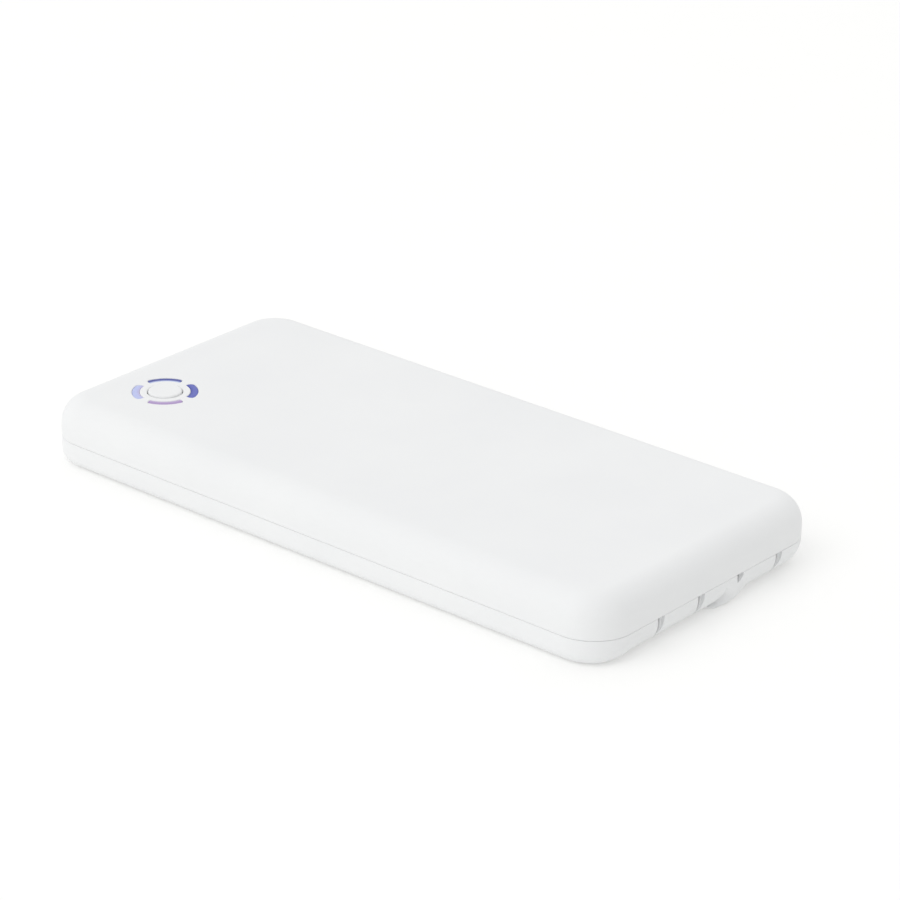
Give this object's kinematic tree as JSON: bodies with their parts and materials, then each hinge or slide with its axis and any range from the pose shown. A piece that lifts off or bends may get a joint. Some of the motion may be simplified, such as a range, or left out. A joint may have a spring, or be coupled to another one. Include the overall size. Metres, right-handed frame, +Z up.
{
  "type": "wireless power bank",
  "caption": "Flat white pocket battery pack with rounded edges, a lit round push button, a wireless charging face and charging sockets in one short end.",
  "frame": {"origin": "middle of the underside, on the surface that the power bank lies on", "axes": "+Z up out of the charging face, +X along the length to the notched short end, button near -X"},
  "size_m": [0.142, 0.067, 0.0135],
  "materials": {
    "white_abs": "satin moulded",
    "frosted_polycarbonate": "frosted",
    "circuit_board_green": "solder mask",
    "steel_screw": "zinc plated",
    "black_plastic": "moulded",
    "socket_steel": "stamped",
    "led_resin": "clear resin",
    "ferrite": "sintered",
    "chip_epoxy": "moulded",
    "capacitor_ceramic": "fired",
    "gold_contact": "gold plated",
    "cell_foil": "laminated foil",
    "adhesive_tape": "foam",
    "nickel_tab": "rolled",
    "graphite": "pressed",
    "tray_plastic": "moulded",
    "copper_winding": "enamelled",
    "lead_sleeve": "extruded"
  },
  "bodies": {
    "case": {"top_cover": "white_abs", "bottom_cover": "white_abs", "light_guide": "frosted_polycarbonate", "circuit_board": "circuit_board_green", "board_screws": "steel_screw", "switch_base": "black_plastic", "switch_plate": "socket_steel", "indicator_leds": "led_resin", "power_inductor": "ferrite", "control_chips": "chip_epoxy", "capacitors": "capacitor_ceramic", "usb_a_shell": "socket_steel", "usb_a_tongue": "black_plastic", "usb_a_contacts": "gold_contact", "usb_c_shell": "socket_steel", "usb_c_tongue": "black_plastic", "usb_c_contacts": "gold_contact", "battery_cell": "cell_foil", "battery_tape": "adhesive_tape", "battery_tabs": "nickel_tab", "heat_sheet": "graphite", "coil_tray": "tray_plastic", "ferrite_plate": "ferrite", "charging_coil": "copper_winding", "coil_leads": "lead_sleeve"},
    "button": {"button_cap": "white_abs", "switch_plunger": "black_plastic"}
  },
  "joints": [
    {"name": "button_press", "type": "slide", "parent": "case", "child": "button", "axis": [0, 0, -1], "range_m": [0, 0.0004], "stiffness_N_per_m": 1500}
  ]
}
